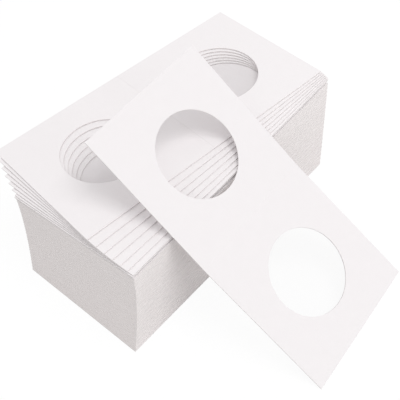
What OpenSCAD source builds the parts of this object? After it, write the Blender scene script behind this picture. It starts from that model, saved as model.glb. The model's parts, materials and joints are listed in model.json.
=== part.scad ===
// Coin holder flips: a pack of flat card flips with clear film behind two round windows.
// The pack stands squared up, the top flips are fanned out, and one flip leans on its front edge.
// The pack rests on z = 0 with its long front side towards -Y. Its highest squared flip is
// centred over the origin, and the crease of every flip in the pack runs along Y.

/* [Flip] */
// Length of one flip laid open
flip_length = 101.6; // [92:0.2:112]
// Width of one flip, across its windows
flip_width = 50.8; // [44:0.2:58]
// Thickness of the white card
card_thickness = 0.34; // [0.26:0.01:0.5]
// Thickness of the clear film that covers the inner face of the card
film_thickness = 0.04; // [0.02:0.01:0.08]
// Diameter of each round window
window_diameter = 28.5; // [18:0.5:38]
// Width of the crease line pressed across the middle of the inner face
crease_width = 0.5; // [0.3:0.1:1]
// Depth of the pressed crease line
crease_depth = 0.05; // [0.04:0.01:0.14]

/* [Pack] */
// Number of flips in the squared part of the pack
pack_flips = 93; // [70:1:110]
// Air between one flip's film and the card of the flip above it
flip_gap = 0.01; // [0.01:0.01:0.05]
// How far the lowest flip has slipped to the left of the highest
pack_slip_left = 5.5; // [0:0.5:8]
// How far the lowest flip has slipped forward of the highest
pack_slip_front = 1.5; // [0:0.5:4]
// How far the lowest flip is turned from the highest, in degrees
pack_slip_turn = 2; // [0:0.5:4]
// How far single flips stand out of line in the squared part
flip_wobble = 0.05; // [0:0.01:0.2]
// Number of flips under the fan that lie loosely on each other
loose_flips = 4; // [0:1:8]
// Further air under each of the loose flips
loose_gap = 0.12; // [0.04:0.02:0.3]
// How much further the loose flips stand out of line
loose_wobble = 0.3; // [0:0.05:0.4]

/* [Fan] */
// How far the top flip is turned from the squared part, in degrees
fan_angle = 8.6; // [6:0.2:12]
// Distance of the point that the fan turns about from the right end of the pack
fan_pivot_beyond = 15.7; // [10:0.1:60]
// Distance of that point behind the front side of the pack
fan_pivot_behind = 9.4; // [0:0.2:20]
// Air under the lowest fanned flip
fan_lift = 0.15; // [0.05:0.05:0.4]
// Air between one fanned flip's film and the card of the flip above it
fan_gap = 0.12; // [0.02:0.02:0.3]

/* [Leaning flip] */
// Distance of the leaning flip's foot in front of the pack, at the middle of the foot
foot_gap = 52.1; // [48:0.1:58]
// How far the middle of the foot stands left of the pack's middle
foot_left = 7; // [0:0.5:20]
// How far the foot is turned from the pack's front side, in degrees
foot_turn = 2.5; // [0:0.5:6]
// How far the flip has sagged closed at its crease, in degrees
sag_angle = 4; // [0:0.5:10]
// Height of the leaning flip's underside over the pack's front top edge
lean_clearance = 0.4; // [0.3:0.05:0.8]
// Height of the fold axis over the film, half the air between the films once folded shut
fold_clearance = 0.15; // [0.1:0.05:0.4]

/* [Hidden] */
fan_flips = 6;
bundles = 8;

card_colour = [0.96, 0.95, 0.95];
film_colour = [0.84, 0.87, 0.89, 0.35];
overrun = 0.2;
$fn = 96;

// A panel is one square half of a flip, from its crease to its end.
panel_length = flip_length / 2;
flip_thickness = card_thickness + film_thickness;
flip_pitch = flip_thickness + flip_gap;
fan_pitch = flip_thickness + fan_gap;
top_flip = pack_flips - 1;

// The slip of the pack grows slowly at first and faster towards the floor.
slip_ease = 1.6;
wobble_step = 137.5;

// Each fanned flip has turned a little further than the one below it.
fan_ease = 1.2;
fan_pivot = [panel_length + fan_pivot_beyond, -flip_width / 2 + fan_pivot_behind];

// The leaning flip stands on its lower end, and the underside of its upper panel passes over
// the front top edge of the highest squared flip, first at the flip's right side.
foot_place = [-foot_left, -flip_width / 2 - foot_gap, 0];
edge_height = flip_level(top_flip) + card_thickness + lean_clearance;
edge_reach = foot_gap / cos(foot_turn) - flip_width / 2 * tan(foot_turn);
edge_distance = norm([edge_reach, edge_height]);
fold_axis_height = flip_thickness + fold_clearance;
lower_reach = panel_length + fold_axis_height * sin(sag_angle);
upper_reach = sqrt(pow(edge_distance, 2) - pow(lower_reach * sin(sag_angle), 2))
    - lower_reach * cos(sag_angle);
foot_tilt = atan2(edge_height, edge_reach) - asin(upper_reach * sin(sag_angle) / edge_distance);

// Height of the underside of flip n in the squared part, counted from 0 at the floor.
function flip_level(n) = n * flip_pitch + loose_gap * max(0, n - top_flip + loose_flips);

// Height of the underside of fanned flip n, counted from 1 at the lowest.
function fan_level(n) = flip_level(top_flip) + flip_thickness + fan_lift + (n - 1) * fan_pitch;

// Share of the pack's slip that flip n has, counted from 0 at the floor.
function slip_share(n) = pow(1 - n / top_flip, slip_ease);

// How far flip n stands out of line with the highest, which lies true.
function wobble(n) = n == top_flip ? 0 : flip_wobble + (n > top_flip - loose_flips ? loose_wobble : 0);

// Turn of fanned flip n, counted from 1 at the lowest.
function fan_turn(n) = -fan_angle * pow(n / fan_flips, fan_ease);

// First flip of bundle n, counted from 1 at the floor.
function bundle_start(n) = round((n - 1) * pack_flips / bundles);

// The round window of a panel centred on the place it is drawn at.
module window_cut() {
    translate([0, 0, -overrun])
        cylinder(d = window_diameter, h = card_thickness + 2 * overrun);
}

// The pressed crease line, lying along Y at x = 0 in the card's inner face.
module crease_cut() {
    translate([-crease_width / 2, -flip_width / 2 - overrun, card_thickness - crease_depth])
        cube([crease_width, flip_width + 2 * overrun, crease_depth + overrun]);
}

// Card of one whole flip lying open, with its crease at x = 0 and its outer face on z = 0.
module open_card() {
    color(card_colour)
        difference() {
            translate([-panel_length, -flip_width / 2, 0])
                cube([flip_length, flip_width, card_thickness]);
            for (side = [-1, 1])
                translate([side * panel_length / 2, 0, 0])
                    window_cut();
            crease_cut();
        }
}

// Clear film over the inner face of one whole flip lying open, cut flush with its card.
module open_film() {
    color(film_colour)
        translate([-panel_length, -flip_width / 2, card_thickness])
            cube([flip_length, flip_width, film_thickness]);
}

// Card of one panel, from y = 0 to its other end, with half the crease line at crease_y.
module panel_card(crease_y) {
    color(card_colour)
        difference() {
            translate([-flip_width / 2, 0, 0])
                cube([flip_width, panel_length, card_thickness]);
            translate([0, panel_length / 2, 0])
                window_cut();
            translate([0, crease_y, 0])
                rotate([0, 0, 90])
                    crease_cut();
        }
}

// Clear film of one panel, cut flush with its card.
module panel_film() {
    color(film_colour)
        translate([-flip_width / 2, 0, card_thickness])
            cube([flip_width, panel_length, film_thickness]);
}

// Puts a flip at level n of the squared pack, a little out of line with the others.
module at_pack_level(n) {
    slipped = slip_share(n);
    translate([
        wobble(n) * sin(n * wobble_step) - pack_slip_left * slipped,
        wobble(n) * (1 + cos(2 * n * wobble_step)) - pack_slip_front * slipped,
        flip_level(n)
    ])
        rotate([0, 0, -pack_slip_turn * slipped])
            children();
}

// Puts a flip at level n of the fan, turned about the point beyond the pack's right end.
module at_fan_level(n) {
    translate([fan_pivot[0], fan_pivot[1], fan_level(n)])
        rotate([0, 0, fan_turn(n)])
            translate([-fan_pivot[0], -fan_pivot[1], 0])
                children();
}

// Puts a panel on the foot of the leaning flip, with y running up the slope.
module on_foot() {
    translate(foot_place)
        rotate([0, 0, foot_turn])
            rotate([foot_tilt, 0, 0])
                children();
}

// Puts a panel above the crease of the leaning flip, turned about the fold axis.
module above_crease() {
    on_foot()
        translate([0, panel_length, fold_axis_height])
            rotate([sag_angle, 0, 0])
                translate([0, 0, -fold_axis_height])
                    children();
}

// The cards of one bundle of the squared pack.
module pack_cards(bundle) {
    for (n = [bundle_start(bundle) : bundle_start(bundle + 1) - 1])
        at_pack_level(n)
            open_card();
}

// The films of one bundle of the squared pack.
module pack_films(bundle) {
    for (n = [bundle_start(bundle) : bundle_start(bundle + 1) - 1])
        at_pack_level(n)
            open_film();
}

module fan_card(n) {
    at_fan_level(n)
        open_card();
}

module fan_film(n) {
    at_fan_level(n)
        open_film();
}

// Lower panel of the leaning flip, which stands on the floor.
module leaning_lower_card() {
    on_foot()
        panel_card(panel_length);
}

module leaning_lower_film() {
    on_foot()
        panel_film();
}

// Upper panel of the leaning flip, which lies against the pack.
module leaning_upper_card() {
    above_crease()
        panel_card(0);
}

module leaning_upper_film() {
    above_crease()
        panel_film();
}

for (n = [1 : bundles]) {
    pack_cards(n);
    pack_films(n);
}
for (n = [1 : fan_flips]) {
    fan_card(n);
    fan_film(n);
}
leaning_lower_card();
leaning_lower_film();
leaning_upper_card();
leaning_upper_film();
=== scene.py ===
import bpy
import json
import math
from mathutils import Matrix, Vector


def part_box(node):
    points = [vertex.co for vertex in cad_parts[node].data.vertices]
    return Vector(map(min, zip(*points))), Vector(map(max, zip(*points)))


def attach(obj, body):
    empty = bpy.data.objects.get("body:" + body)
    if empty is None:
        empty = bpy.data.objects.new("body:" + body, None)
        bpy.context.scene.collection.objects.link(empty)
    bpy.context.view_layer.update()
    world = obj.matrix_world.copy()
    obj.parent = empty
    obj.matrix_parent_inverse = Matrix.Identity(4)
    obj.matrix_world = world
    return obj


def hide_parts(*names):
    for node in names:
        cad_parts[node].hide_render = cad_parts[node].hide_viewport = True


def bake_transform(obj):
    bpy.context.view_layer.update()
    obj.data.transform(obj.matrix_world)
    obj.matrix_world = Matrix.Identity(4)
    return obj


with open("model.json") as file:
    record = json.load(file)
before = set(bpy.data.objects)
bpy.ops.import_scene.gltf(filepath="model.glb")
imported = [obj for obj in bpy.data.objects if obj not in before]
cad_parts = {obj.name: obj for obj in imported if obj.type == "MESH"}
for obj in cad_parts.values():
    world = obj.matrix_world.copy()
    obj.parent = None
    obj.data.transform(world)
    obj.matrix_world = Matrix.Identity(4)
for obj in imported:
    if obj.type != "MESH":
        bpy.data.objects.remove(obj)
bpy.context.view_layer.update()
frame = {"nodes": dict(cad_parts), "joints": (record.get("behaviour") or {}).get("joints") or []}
mm = 0.001


# The squared flips' cards. Each is a strip of smooth white board, die cut with two round
# windows and a crease pressed across its middle. They lie loose on each other, 93 high, and
# every cut edge has its own tone, which shows the single sheets in the pack's sides.
class Wire:
    """A value on its way through a finish, which adds up and scales like a number."""

    def __init__(self, tree, socket=None):
        self.tree = tree
        self.socket = socket

    def node(self, kind, settings, sockets, out=0):
        """Adds a node, with its settings first and its sockets' values or links after them."""
        made = self.tree.nodes.new(kind)
        for name, value in settings.items():
            setattr(made, name, value)
        for name, value in sockets.items():
            if isinstance(value, Wire):
                self.tree.links.new(value.socket, made.inputs[name])
            else:
                made.inputs[name].default_value = value
        return Wire(self.tree, made.outputs[out] if made.outputs else None)

    def maths(self, operation, *terms):
        return self.node("ShaderNodeMath", {"operation": operation}, dict(enumerate(terms)))

    def __add__(self, other):
        return self.maths("ADD", self, other)

    def __radd__(self, other):
        return self.maths("ADD", other, self)

    def __sub__(self, other):
        return self.maths("SUBTRACT", self, other)

    def __rsub__(self, other):
        return self.maths("SUBTRACT", other, self)

    def __mul__(self, other):
        return self.maths("MULTIPLY", self, other)

    def __rmul__(self, other):
        return self.maths("MULTIPLY", other, self)

    def __truediv__(self, other):
        return self.maths("DIVIDE", self, other)

    def __abs__(self):
        return self.maths("ABSOLUTE", self)

    def __pow__(self, power):
        return self.maths("POWER", self, power)

    def over(self, level):
        """1 where the value is above the level, else 0."""
        return self.maths("GREATER_THAN", self, level)

    def between(self, low, high):
        """Rises smoothly from 0 at low to 1 at high."""
        return self.node("ShaderNodeMapRange", {"interpolation_type": "SMOOTHSTEP"},
                         {"Value": self, "From Min": low, "From Max": high})

    def tint(self, low, high):
        """Colour low where the value is 0, and high where it is 1."""
        return self.node("ShaderNodeMix", {"data_type": "RGBA"},
                         {"Factor": self, 6: low, 7: high}, out=2)

    def part(self, number):
        """One of the three numbers of a place or a direction."""
        return self.node("ShaderNodeSeparateXYZ", {}, {"Vector": self}, out=number)

    def facing(self):
        """The direction that a face of the piece looks in."""
        return self.node("ShaderNodeTexCoord", {}, {}, out=1)

    def sheet_place(self):
        """The place on the flat sheet, in metres: across it, then along it."""
        return self.node("ShaderNodeTexCoord", {}, {}, out=2)

    def place(self):
        """The place in the set, in metres."""
        return self.node("ShaderNodeTexCoord", {}, {}, out=3)

    def cloud(self, place, spots, detail=2.0, rough=0.5):
        """Noise from 0 to 1 over a place, with so many spots to a metre."""
        return self.node("ShaderNodeTexNoise", {}, {
            "Vector": place, "Scale": spots, "Detail": detail, "Roughness": rough})


def new_finish(name):
    """An empty material, with a wire to grow its nodes from."""
    material = bpy.data.materials.new(name)
    material.use_nodes = True
    material.node_tree.nodes.clear()
    return material, Wire(material.node_tree)


def close_finish(start, shader):
    start.node("ShaderNodeOutputMaterial", {}, {"Surface": shader})


FACE_DULL, FACE_BRIGHT = (0.905, 0.872, 0.880), (0.935, 0.902, 0.910)
CORE_DULL, CORE_BRIGHT = (0.872, 0.829, 0.822), (0.896, 0.853, 0.847)
MOTTLE_SPOTS, FIBRE_SPOTS = 260.0, 5200.0
MOTTLE_SHARE = 0.7
FACE_ROUGH, MOTTLE_ROUGH, CORE_ROUGH = 0.46, 0.12, 0.3
BOARD_GLOSS = 0.35
BOARD_BUMP, FIBRE_HEIGHT, MOTTLE_BUMP = 0.25, 0.02 * mm, 0.5


def board_shader(start, place, edge, tone, shade=1.0):
    """White board: smooth faces, and a duller, rougher core where it is cut. Shade scales all
    its colours, a painted shade where it is below 1.
    """

    def shaded(colour):
        return tuple(part * shade for part in colour) + (1,)

    mottle = start.cloud(place, MOTTLE_SPOTS, detail=3.0)
    fibre = start.cloud(place, FIBRE_SPOTS, rough=0.6)
    face_tone = mottle * MOTTLE_SHARE + fibre * (1 - MOTTLE_SHARE)
    face = face_tone.tint(shaded(FACE_DULL), shaded(FACE_BRIGHT))
    core = tone.tint(shaded(CORE_DULL), shaded(CORE_BRIGHT))
    bump = start.node("ShaderNodeBump", {}, {
        "Strength": BOARD_BUMP, "Distance": FIBRE_HEIGHT,
        "Height": fibre + mottle * MOTTLE_BUMP})
    return start.node("ShaderNodeBsdfPrincipled", {}, {
        "Base Color": edge.tint(face, core),
        "Roughness": FACE_ROUGH + mottle * MOTTLE_ROUGH + edge * CORE_ROUGH,
        "Specular IOR Level": BOARD_GLOSS,
        "Normal": bump})


FLIP_PITCH = 0.39 * mm
TONE_STARTS_BELOW = 0.05


def sheet_tone(start, spot):
    """A tone of its own for each sheet of the pile, which changes just below each card."""
    level = start.maths("FLOOR", spot.part(2) / FLIP_PITCH + TONE_STARTS_BELOW)
    return start.node("ShaderNodeTexWhiteNoise", {"noise_dimensions": "1D"}, {"W": level})


def cut_edge(start):
    """1 on the cut edges of a sheet that lies flat, the faces that don't look up or down."""
    return 1 - abs(start.facing().part(2)).over(0.5)


def lying_board(name, tone_of):
    """Board of flips that lie flat."""
    material, start = new_finish(name)
    spot = start.place()
    close_finish(start, board_shader(start, spot, cut_edge(start), tone_of(start, spot)))
    return material


def dress(names, material):
    """Gives solids of the frame their finish."""
    for name in names:
        slots = frame["nodes"][name].data.materials
        slots.clear()
        slots.append(material)


BUNDLES = 8
dress([f"pack_cards_{n + 1}" for n in range(BUNDLES)], lying_board("card_pile", sheet_tone))


# The squared flips' films, one clear sheet of polyester on the inner face of each card. Down
# the pile of windows the sheets add up to an even grey, which lies just under the highest one.
FLIP_LENGTH = 101.6 * mm
FLIP_WIDTH = 50.8 * mm
WINDOW_ACROSS = 28.5 * mm
WELL_RIM = 0.1 * mm
PILE_HEIGHT = 36.7 * mm
TIGHT_HEIGHT = 34.5 * mm
SLIP_EASE = 1.6
SLIP_LEFT = 5.5 * mm
SLIP_FRONT = 1.5 * mm
WELL_DULL, WELL_BRIGHT = (0.700, 0.668, 0.677, 1), (0.740, 0.708, 0.717, 1)
# Painted glow: the emission colour in the windows is a light of the film's own, which lifts the
# wells out of the shade.
WELL_PAINTED_GLOW, NO_LIGHT = (0.170, 0.162, 0.165, 1), (0, 0, 0, 1)
FILM_OVER_CARD = (0.92, 0.887, 0.895, 1)
FILM_CUT_EDGE = (0.884, 0.841, 0.834, 1)
# Painted glow: the hidden faces and ledges between the sheets give off a fixed light that fills
# their shade, over a base colour dimmed to match.
HAIRLINE_BASE_UNDER_GLOW, HAIRLINE_PAINTED_GLOW = (0.30, 0.285, 0.283, 1), (0.40, 0.375, 0.370, 1)
PILE_HAZE_SPOTS, PILE_RIPPLE_SPOTS = 90.0, 55.0
PILE_FILM_ROUGH, PILE_HAZE_ROUGH = 0.22, 0.08
PILE_RIPPLE_BUMP, RIPPLE_HEIGHT = 0.3, 0.05 * mm


def pile_film_finish():
    """Film of the pile. In the windows it glows with a painted light, 0.17 of white, which lifts
    the grey wells out of the shade, and round them the board shows through. Up to TIGHT_HEIGHT
    the flips press on each other, and the hairlines between them glow with a painted light, 0.4
    of white, over a dimmer base, so that they don't render black."""
    material, start = new_finish("film_pile")
    spot = start.place()
    haze = start.cloud(spot, PILE_HAZE_SPOTS)
    ripple = start.cloud(spot, PILE_RIPPLE_SPOTS, detail=1.0)
    height = spot.part(2)
    slipped = (1 - height / PILE_HEIGHT) ** SLIP_EASE
    along = abs(spot.part(0) + SLIP_LEFT * slipped) - FLIP_LENGTH / 4
    across = spot.part(1) + SLIP_FRONT * slipped
    out = start.maths("SQRT", along * along + across * across)
    card_under = out.between(WINDOW_ACROSS / 2 - WELL_RIM, WINDOW_ACROSS / 2 + WELL_RIM)
    edge = cut_edge(start)
    # Where the hairlines lie: the faces between the sheets, which get the painted glow instead
    # of their shade.
    hairline = (1 - height.over(TIGHT_HEIGHT)) * (1 - edge) * card_under
    flat = card_under.tint(haze.tint(WELL_DULL, WELL_BRIGHT), FILM_OVER_CARD)
    colour = edge.tint(hairline.tint(flat, HAIRLINE_BASE_UNDER_GLOW), FILM_CUT_EDGE)
    # Painted glow: emission in the windows and on the hairlines, a light of their own and not
    # from any lamp.
    painted_glow = hairline.tint(card_under.tint(WELL_PAINTED_GLOW, NO_LIGHT), HAIRLINE_PAINTED_GLOW)
    bump = start.node("ShaderNodeBump", {}, {
        "Strength": PILE_RIPPLE_BUMP, "Distance": RIPPLE_HEIGHT, "Height": ripple})
    close_finish(start, start.node("ShaderNodeBsdfPrincipled", {}, {
        "Base Color": colour, "Roughness": PILE_FILM_ROUGH + haze * PILE_HAZE_ROUGH,
        "Normal": bump, "Emission Color": painted_glow, "Emission Strength": 1.0}))
    return material


dress([f"pack_films_{n + 1}" for n in range(BUNDLES)], pile_film_finish())


# The cards of the six flips fanned out over the pack, the same board as below. Each lies
# loose, turned a little further than the one under it.
FANNED = 6
DRIFT_SPOTS = 400.0


def plain_tone(start, spot):
    """A tone that drifts along a single sheet."""
    return start.cloud(spot, DRIFT_SPOTS)


dress([f"fan_card_{n + 1}" for n in range(FANNED)], lying_board("card_fanned", plain_tone))


# The films of the fanned flips: clear polyester, stretched over the windows and stuck to the
# card round them. Each is modelled as one surface, a little slack over each window.
FAN_ANGLE = math.radians(8.6)
FAN_EASE = 1.2
FILM_SLACK = 0.02 * mm
FILM_STOPS_ALONG, FILM_STOPS_ACROSS = 48, 24
FILM_RIM = 0.05 * mm
FILM_ON_CARD, FILM_ON_AIR = (0.90, 0.88, 0.885, 1), (0.50, 0.48, 0.485, 1)
FILM_HAZE_SPOTS, FILM_RIPPLE_SPOTS = 120.0, 70.0
FILM_ROUGH, FILM_HAZE_ROUGH = 0.10, 0.06
FILM_RIPPLE_BUMP = 0.25
GLANCE_HEAD_ON, GLANCE_POWER = 0.04, 5.0
GLANCE_SHARE = 0.6
VEIL_SHARE = 0.015


def clear_film_finish():
    """Film that shows by its gloss, stronger at a glance, and by a thin veil in the windows."""
    material, start = new_finish("film_clear")
    spot = start.place()
    haze = start.cloud(spot, FILM_HAZE_SPOTS)
    ripple = start.cloud(spot, FILM_RIPPLE_SPOTS, detail=1.0)
    bump = start.node("ShaderNodeBump", {}, {
        "Strength": FILM_RIPPLE_BUMP, "Distance": RIPPLE_HEIGHT, "Height": ripple})
    sheet = start.sheet_place()
    across = sheet.part(0)
    along = abs(sheet.part(1)) - FLIP_LENGTH / 4
    out = start.maths("SQRT", along * along + across * across)
    in_window = 1 - out.between(WINDOW_ACROSS / 2 - FILM_RIM, WINDOW_ACROSS / 2 + FILM_RIM)
    gloss = start.node("ShaderNodeBsdfPrincipled", {}, {
        "Base Color": in_window.tint(FILM_ON_CARD, FILM_ON_AIR),
        "Roughness": FILM_ROUGH + haze * FILM_HAZE_ROUGH, "Normal": bump})
    clear = start.node("ShaderNodeBsdfTransparent", {}, {})
    aside = start.node("ShaderNodeLayerWeight", {}, {"Blend": 0.5}, out=1)
    glance = GLANCE_HEAD_ON + (1 - GLANCE_HEAD_ON) * aside ** GLANCE_POWER
    close_finish(start, start.node("ShaderNodeMixShader", {}, {
        0: glance * GLANCE_SHARE + VEIL_SHARE * in_window, 1: clear, 2: gloss}))
    return material


clear_film = clear_film_finish()


def new_piece(name, points, faces, material):
    mesh = bpy.data.meshes.new(name)
    mesh.from_pydata(points, [], faces)
    mesh.materials.append(material)
    mesh.validate()
    piece = bpy.data.objects.new(name, mesh)
    bpy.context.scene.collection.objects.link(piece)
    return piece


def lay_out(piece, sheet):
    """Gives each point of a piece its place on the flat sheet."""
    layer = piece.data.uv_layers.new(name="sheet")
    for loop in piece.data.loops:
        layer.data[loop.index].uv = sheet[loop.vertex_index]


def as_clear_film(piece):
    """Film lets the light through, so it neither shades nor brightens what lies below."""
    piece.visible_shadow = False
    piece.visible_diffuse = False
    for face in piece.data.polygons:
        face.use_smooth = True


def slack(along, across):
    """How far a film sinks at a place counted from the crease, 0 outside the two windows."""
    from_middle = abs(along) - FLIP_LENGTH / 4
    out = math.hypot(from_middle, across) / (WINDOW_ACROSS / 2)
    return FILM_SLACK * max(0.0, 1 - out * out)


def film_grid(name, stops_along, stops_across, place, crease=0.0):
    """A sheet of film over a grid of stops, put in place by a function of them."""
    points = [place(a, b) for a in stops_along for b in stops_across]
    row = len(stops_across)
    faces = [(i * row + j, (i + 1) * row + j, (i + 1) * row + j + 1, i * row + j + 1)
             for i in range(len(stops_along) - 1) for j in range(row - 1)]
    piece = new_piece(name, points, faces, clear_film)
    lay_out(piece, [(b, a - crease) for a in stops_along for b in stops_across])
    return piece


def steps(low, high, count):
    """Even steps from low to high, both included."""
    return [low + (high - low) * i / count for i in range(count + 1)]


def frame_joint(name):
    return next(joint for joint in frame["joints"] if joint["name"] == name)


def fan_film(number):
    """The film of one fanned flip, on the inner face of its card."""
    low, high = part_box(f"fan_film_{number}")
    pivot = Vector(frame_joint(f"fan_swivel_{number}")["pos_m"])
    turn = -FAN_ANGLE * (number / FANNED) ** FAN_EASE
    level = (low.z + high.z) / 2

    def place(along, across):
        flat = Vector((along, across, 0)) - Vector((pivot.x, pivot.y, 0))
        spot = Matrix.Rotation(turn, 3, "Z") @ flat
        return (spot.x + pivot.x, spot.y + pivot.y, level - slack(along, across))

    piece = film_grid(f"fanned_film_{number}",
                      steps(-FLIP_LENGTH / 2, FLIP_LENGTH / 2, FILM_STOPS_ALONG),
                      steps(-FLIP_WIDTH / 2, FLIP_WIDTH / 2, FILM_STOPS_ACROSS), place)
    as_clear_film(piece)
    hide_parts(f"fan_film_{number}")
    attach(piece, f"fan_flip_{number}")


for number in range(1, FANNED + 1):
    fan_film(number)


# The card of the leaning flip: one strip of board from end to end, which stands on its lower
# end, leans on the pack's front edge, and has sagged shut by a few degrees at its crease.
CARD = 0.34 * mm
FILM = 0.04 * mm
FOLD_CLEARANCE = 0.15 * mm
FOLD_AXIS = CARD + FILM + FOLD_CLEARANCE
PANEL = FLIP_LENGTH / 2
SAG = math.radians(4)
BEND = 0.9 * mm
BEND_STOPS = 12
CREASE_HALF = 0.25 * mm
CREASE_DEPTH = 0.04 * mm
ROLL = 0.12 * mm
ROLL_DEPTH = 0.03 * mm
RING_POINTS = 96
RING_SPREADS = (0.12, 0.3, 0.55, 0.8)
SAME_PLACE = 0.0001 * mm
# Painted shade: the leaning card's colours are scaled down by this, because at its slant it
# catches more lamp light.
LEANING_PAINTED_SHADE = 0.93

foot = Vector(frame_joint("flip_tilt")["pos_m"])
fold = Vector(frame_joint("flip_fold")["pos_m"])
across_axis = Vector(frame_joint("flip_tilt")["axis"]).normalized()
uphill = Vector((0, 0, 1)).cross(across_axis)
rise = fold - foot
slope = math.atan2(rise.z, rise.dot(uphill)) - math.atan2(FOLD_AXIS, PANEL)


def leaning_place(along, across, height):
    """A place on the leaning flip: along from its foot, across from its middle line, and height
    over the card's outer face. The sheet turns smoothly round the fold axis at its crease."""
    share = min(1.0, max(0.0, (along - PANEL + BEND) / (2 * BEND)))
    angle = SAG * share * share * (3 - 2 * share)
    over, up = along - PANEL, height - FOLD_AXIS
    y = PANEL + over * math.cos(angle) - up * math.sin(angle)
    z = FOLD_AXIS + over * math.sin(angle) + up * math.cos(angle)
    out = y * math.cos(slope) - z * math.sin(slope)
    high = y * math.sin(slope) + z * math.cos(slope)
    spot = foot + across_axis * across + uphill * out
    return (spot.x, spot.y, spot.z + high)


def crease_dip(along):
    """The pressed crease line: a rounded groove across the inner face."""
    out = abs(along - PANEL) / CREASE_HALF
    return CREASE_DEPTH * (0.5 + 0.5 * math.cos(math.pi * min(1.0, out)))


def at_bend(along):
    """Whether a place is where a flat panel ends and the bent strip begins."""
    return abs(abs(along - PANEL) - BEND) < SAME_PLACE


def at_side(across):
    """Whether a place is on one of the card's two long sides."""
    return abs(across) > FLIP_WIDTH / 2 - SAME_PLACE


def panel_rings(panel):
    """Rings of places on one panel, from the rim of its window out to its border, which stops
    at the bent strip on the side of the crease."""
    to_crease = 1 if panel == 0 else -1
    middle = PANEL / 2 + panel * PANEL
    radius, half = WINDOW_ACROSS / 2, FLIP_WIDTH / 2
    rings = []
    for spread in (0.0, ROLL / radius, *RING_SPREADS, 1 - 2 * ROLL / half, 1.0):
        ring = []
        for k in range(RING_POINTS):
            angle = 2 * math.pi * k / RING_POINTS
            c, s = math.cos(angle), math.sin(angle)
            reach = half / max(abs(c), abs(s))
            side_across, side_along = reach * c, reach * s
            if side_along * to_crease > 0:
                side_along *= (half - BEND) / half
            across = radius * c + (side_across - radius * c) * spread
            along = radius * s + (side_along - radius * s) * spread
            ring.append((middle + along, across))
        rings.append(ring)
    return rings


def leaning_board():
    """The same board, on a sheet that stands at a slant. Its colours are painted a shade darker,
    to offset the extra lamp light that it catches at its slant."""
    material, start = new_finish("card_leaning")
    spot = start.sheet_place()
    edge = start.node("ShaderNodeAttribute", {"attribute_name": "cut_edge"}, {}, out=2)
    tone = plain_tone(start, spot)
    close_finish(start, board_shader(start, spot, edge, tone, LEANING_PAINTED_SHADE))
    return material


def bend_at_crease(piece):
    """Works out the places at both ends of the bent strip, which are not kept, and bakes the
    sheet's place into its mesh. The bend itself comes with the points from leaning_place.
    """
    leaning_place(PANEL - BEND, 0, FOLD_AXIS)
    leaning_place(PANEL + BEND, 0, FOLD_AXIS)
    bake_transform(piece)


def leaning_card():
    """The whole card: two panels, each with rolled edges round its window and its border, and
    the bent strip between them. Top is the inner face, which carries the film."""
    points, sheet, faces, walls = [], [], [], []

    def add(along, across, top, edge):
        rolled = ROLL_DEPTH if edge else 0.0
        height = CARD - crease_dip(along) - rolled if top else rolled / 2
        points.append(leaning_place(along, across, height))
        sheet.append((across, along))
        return len(points) - 1

    def fill(lines, top):
        """Faces between lines of points that lie next to each other."""
        for line, other in zip(lines, lines[1:]):
            for quad in zip(line, line[1:], other[1:], other):
                faces.append(quad if top else quad[::-1])

    def panel_face(rings, top):
        made = []
        for ring in rings:
            rim, border = ring is rings[0], ring is rings[-1]
            made.append([
                add(along, across, top,
                    rim or (border and (at_side(across) or not at_bend(along))))
                for along, across in ring])
        fill([line + line[:1] for line in made], top)
        return made

    bend_ends = {}
    for panel in (0, 1):
        rings = panel_rings(panel)
        made = {top: panel_face(rings, top) for top in (True, False)}
        upper, lower = made[True], made[False]
        border_at_bend = [at_bend(along) for along, across in rings[-1]]
        for k in range(RING_POINTS):
            m = (k + 1) % RING_POINTS
            walls.append((upper[0][m], upper[0][k], lower[0][k], lower[0][m]))
            if not (border_at_bend[k] and border_at_bend[m]):
                walls.append((upper[-1][k], upper[-1][m], lower[-1][m], lower[-1][k]))
        for top in made:
            ends = [made[top][-1][k] for k in range(RING_POINTS) if border_at_bend[k]]
            bend_ends[panel, top] = sorted(ends, key=lambda point: sheet[point][0])

    strips = {}
    for top in (True, False):
        lines = [bend_ends[0, top]]
        for along in steps(PANEL - BEND, PANEL + BEND, BEND_STOPS)[1:-1]:
            stops_across = [sheet[point][0] for point in bend_ends[0, top]]
            lines.append([add(along, across, top, at_side(across)) for across in stops_across])
        strips[top] = lines + [bend_ends[1, top]]
        fill(strips[top], top)
    upper, lower = strips[True], strips[False]
    for wall in zip(upper, upper[1:], lower[1:], lower):
        walls.append(tuple(line[-1] for line in reversed(wall)))
        walls.append(tuple(line[0] for line in wall))

    piece = new_piece("leaning_card", points, faces + walls, leaning_board())
    lay_out(piece, sheet)
    cut = piece.data.attributes.new("cut_edge", "FLOAT", "FACE")
    cut.data.foreach_set("value", [0.0] * len(faces) + [1.0] * len(walls))
    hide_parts("leaning_lower_card", "leaning_upper_card")
    bend_at_crease(piece)


leaning_card()


# The film of the leaning flip: one sheet of clear polyester on the card's inner face, which
# runs on over the crease from one panel to the other and bends with it.
def leaning_film():
    flat_stops = FILM_STOPS_ALONG // 2
    stops_along = (steps(0, PANEL - BEND, flat_stops)
                   + steps(PANEL - BEND, PANEL + BEND, BEND_STOPS)[1:-1]
                   + steps(PANEL + BEND, FLIP_LENGTH, flat_stops))

    def place(along, across):
        height = CARD + FILM / 2 - crease_dip(along) - slack(along - PANEL, across)
        return leaning_place(along, across, height)

    piece = film_grid("leaning_film", stops_along,
                      steps(FLIP_WIDTH / 2, -FLIP_WIDTH / 2, FILM_STOPS_ACROSS), place, PANEL)
    as_clear_film(piece)
    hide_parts("leaning_lower_film", "leaning_upper_film")
    bend_at_crease(piece)


leaning_film()


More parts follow.
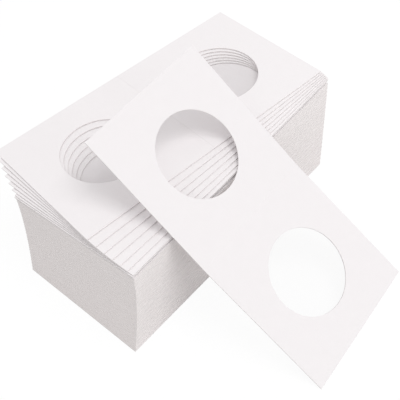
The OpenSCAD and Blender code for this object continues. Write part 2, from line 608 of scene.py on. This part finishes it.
# The table that the pack stands on: plain, white and matt. To the eye it is as white as the
# room round it, and keeps a faint shadow near the pack.
FLOOR_HALF = 3.0
FLOOR_BELOW = 0.02 * mm
FLOOR_MATT = (0.72, 0.72, 0.72, 1)
WHITE = (1, 1, 1, 1)
FLOOR_GLOW = 1.05
SHADOW_SHARE = 0.12
SHADOW_FADES, SHADOW_ENDS = 0.15, 0.6


def to_the_eye(start):
    """1 where the eye looks, straight, in a gloss or through a film, and 0 for stray light."""
    straight, in_gloss, through = [
        start.node("ShaderNodeLightPath", {}, {}, out=n) for n in (0, 3, 6)]
    return start.maths("MAXIMUM", start.maths("MAXIMUM", straight, in_gloss), through)


def table_top():
    material, start = new_finish("floor_white")
    spot = start.place()
    away = start.node("ShaderNodeVectorMath", {"operation": "LENGTH"}, {0: spot}, out=1)
    matt = start.node("ShaderNodeBsdfDiffuse", {}, {"Color": FLOOR_MATT})
    glow = start.node("ShaderNodeEmission", {}, {"Color": WHITE, "Strength": FLOOR_GLOW})
    unshaded = 1 - SHADOW_SHARE + SHADOW_SHARE * away.between(SHADOW_FADES, SHADOW_ENDS)
    share = to_the_eye(start) * unshaded
    close_finish(start, start.node("ShaderNodeMixShader", {}, {0: share, 1: matt, 2: glow}))
    h = FLOOR_HALF
    piece = new_piece("table_top", [(-h, -h, 0), (h, -h, 0), (h, h, 0), (-h, h, 0)],
                      [(0, 1, 2, 3)], material)
    piece.location.z = -FLOOR_BELOW


table_top()


# Studio light: a pale room all round, which is pure white to the eye, one large soft lamp
# overhead, and a weaker one low in front.
def lamp(name, place, aim, size, power):
    data = bpy.data.lights.new(name, "AREA")
    data.shape = "SQUARE"
    data.size = size
    data.energy = power
    light = bpy.data.objects.new(name, data)
    bpy.context.scene.collection.objects.link(light)
    light.location = place
    light.rotation_euler = (Vector(aim) - Vector(place)).to_track_quat("-Z", "Y").to_euler()
    light.visible_camera = False
    light.visible_glossy = False


lamp("lamp_overhead", place=(0.12, -0.35, 0.90), aim=(0, 0, 0), size=0.45, power=2.5)
lamp("lamp_front", place=(0.05, -1.0, 0.15), aim=(0, 0, 0.03), size=0.5, power=1.5)

ROOM_LIGHT = 0.735
world = bpy.data.worlds.new("studio")
bpy.context.scene.world = world
world.use_nodes = True
world.node_tree.nodes.clear()
sky = Wire(world.node_tree)
room = sky.node("ShaderNodeBackground", {}, {
    "Color": WHITE, "Strength": ROOM_LIGHT + (1 - ROOM_LIGHT) * to_the_eye(sky)})
sky.node("ShaderNodeOutputWorld", {}, {"Surface": room})


# The camera looks down on the pack's front left corner, and leans a little to its left. Its
# lens is in millimetres, and its angles are in degrees.
LENS = 63.473
SENSOR_WIDTH = 36.0
NEAREST, FARTHEST = 0.01, 20.0
AZIMUTH, ELEVATION, ROLL_ANGLE = -46.127, 50.235, -6.342
EYE = Vector((-117.533, -118.907, 202.242)) * mm


def camera():
    data = bpy.data.cameras.new("camera")
    data.lens = LENS
    data.sensor_width = SENSOR_WIDTH
    data.clip_start = NEAREST
    data.clip_end = FARTHEST
    azimuth, elevation, roll = (math.radians(a) for a in (AZIMUTH, ELEVATION, ROLL_ANGLE))
    back = Vector((math.sin(azimuth) * math.cos(elevation),
                   -math.cos(azimuth) * math.cos(elevation), math.sin(elevation)))
    right = Vector((math.cos(azimuth), math.sin(azimuth), 0))
    up = back.cross(right)
    x_axis = right * math.cos(roll) + up * math.sin(roll)
    y_axis = up * math.cos(roll) - right * math.sin(roll)
    turn = Matrix((x_axis, y_axis, back)).transposed().to_4x4()
    eye = bpy.data.objects.new("camera", data)
    bpy.context.scene.collection.objects.link(eye)
    eye.matrix_world = Matrix.Translation(EYE) @ turn
    bpy.context.scene.camera = eye


camera()
bpy.context.scene.view_settings.view_transform = "Standard"
